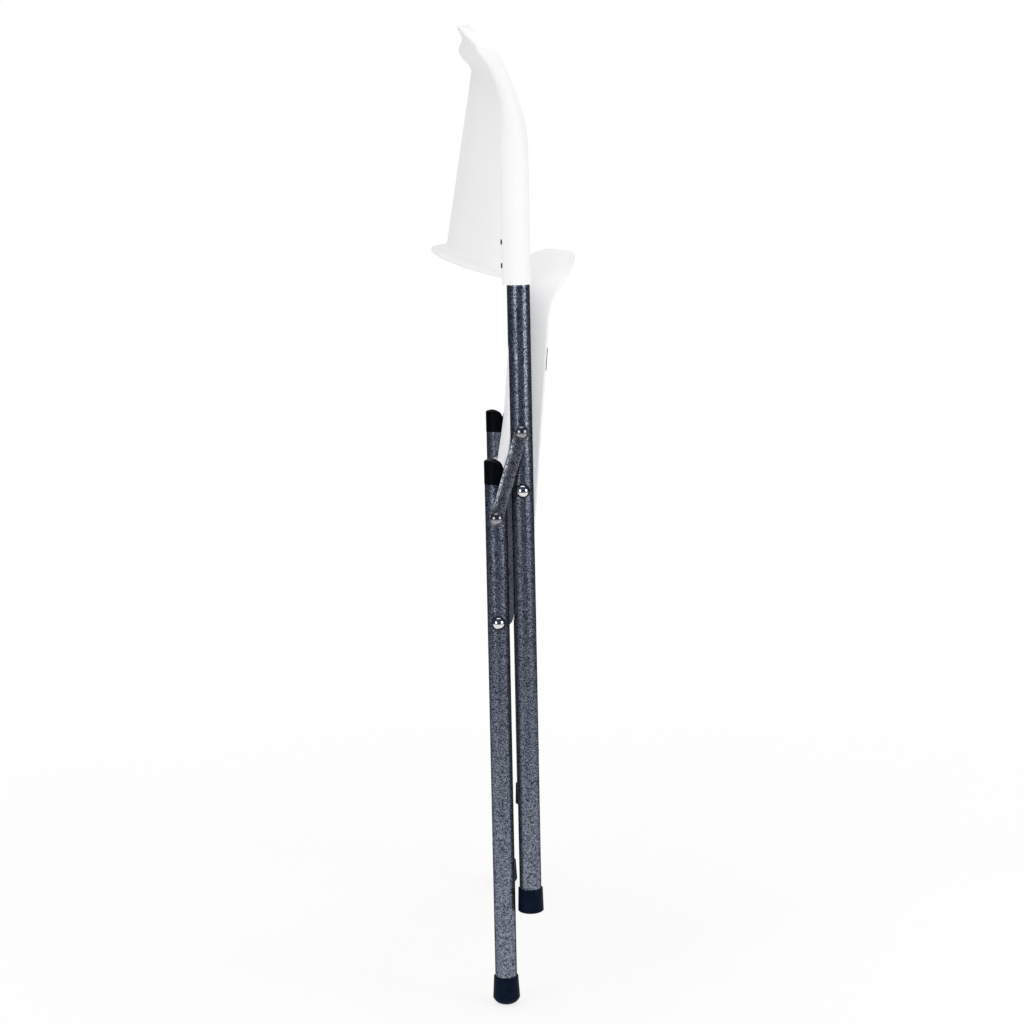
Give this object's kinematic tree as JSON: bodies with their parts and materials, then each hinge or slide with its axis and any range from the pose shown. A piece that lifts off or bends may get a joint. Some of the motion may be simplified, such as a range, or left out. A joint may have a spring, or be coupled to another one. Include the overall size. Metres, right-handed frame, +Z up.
{
  "type": "folding chair",
  "caption": "Folding chair with a moulded seat and scooped backrest on round steel legs that close flat through side links.",
  "frame": {"origin": "under the middle of the folded chair, at the bottom of the rear feet", "axes": "+X is the chair's front, +Y its left side, +Z up along the folded legs"},
  "size_m": [0.1504, 0.4672, 0.982],
  "materials": {
    "frame_paint": "hammertone charcoal enamel",
    "shell": "white moulded polypropylene, fine satin grain",
    "rivet": "bright nickel plate",
    "washer": "zinc plate",
    "screw": "zinc plate",
    "black_screw": "black oxide",
    "spacer_nylon": "black nylon",
    "foot_rubber": "matt black moulded rubber",
    "cap_plastic": "satin black",
    "bumper": "matt black"
  },
  "bodies": {
    "front_frame": {"right_front_leg": "frame_paint", "left_front_leg": "frame_paint", "front_cross_brace": "frame_paint", "right_front_foot": "foot_rubber", "left_front_foot": "foot_rubber", "backrest": "shell", "backrest_screws": "black_screw", "link_pivot_rivets": "rivet", "link_pivot_washers": "spacer_nylon", "seat_pivot_rivets": "rivet", "seat_pivot_washers": "washer", "seat_pivot_spacers": "spacer_nylon"},
    "seat": {"seat_panel": "shell", "seat_bumpers": "bumper", "right_seat_bracket": "frame_paint", "left_seat_bracket": "frame_paint", "seat_bracket_screws": "screw"},
    "rear_frame": {"right_rear_leg": "frame_paint", "left_rear_leg": "frame_paint", "rear_cross_brace": "frame_paint", "right_rear_foot": "foot_rubber", "left_rear_foot": "foot_rubber", "right_rear_cap": "cap_plastic", "left_rear_cap": "cap_plastic", "rear_pivot_rivets": "rivet", "rear_pivot_washers": "washer", "rear_pivot_spacers": "spacer_nylon", "link_end_washers": "spacer_nylon", "link_rivet_tails": "rivet"},
    "right_link": {"right_link": "frame_paint", "right_link_rivet": "rivet"},
    "left_link": {"left_link": "frame_paint", "left_link_rivet": "rivet"}
  },
  "joints": [
    {"name": "seat_fold", "type": "hinge", "parent": "front_frame", "child": "seat", "pos_m": [0.01325, 0, 0.527], "axis": [0, 1, 0], "range_deg": [0, 105]},
    {"name": "rear_leg_fold", "type": "hinge", "parent": "seat", "child": "rear_frame", "pos_m": [-0.01325, 0, 0.395], "axis": [0, 1, 0], "range_deg": [-60.72, 0]},
    {"name": "right_link_swing", "type": "hinge", "parent": "front_frame", "child": "right_link", "pos_m": [0.01325, -0.215, 0.586], "axis": [0, 1, 0], "range_deg": [0, 131.22]},
    {"name": "left_link_swing", "type": "hinge", "parent": "front_frame", "child": "left_link", "pos_m": [0.01325, 0.215, 0.586], "axis": [0, 1, 0], "range_deg": [0, 131.22]}
  ],
  "couplings": [
    {"joint": "rear_leg_fold", "follows": "seat_fold", "ratio": -0.57781},
    {"joint": "right_link_swing", "follows": "seat_fold", "ratio": 1.2492},
    {"joint": "left_link_swing", "follows": "seat_fold", "ratio": 1.2492}
  ]
}
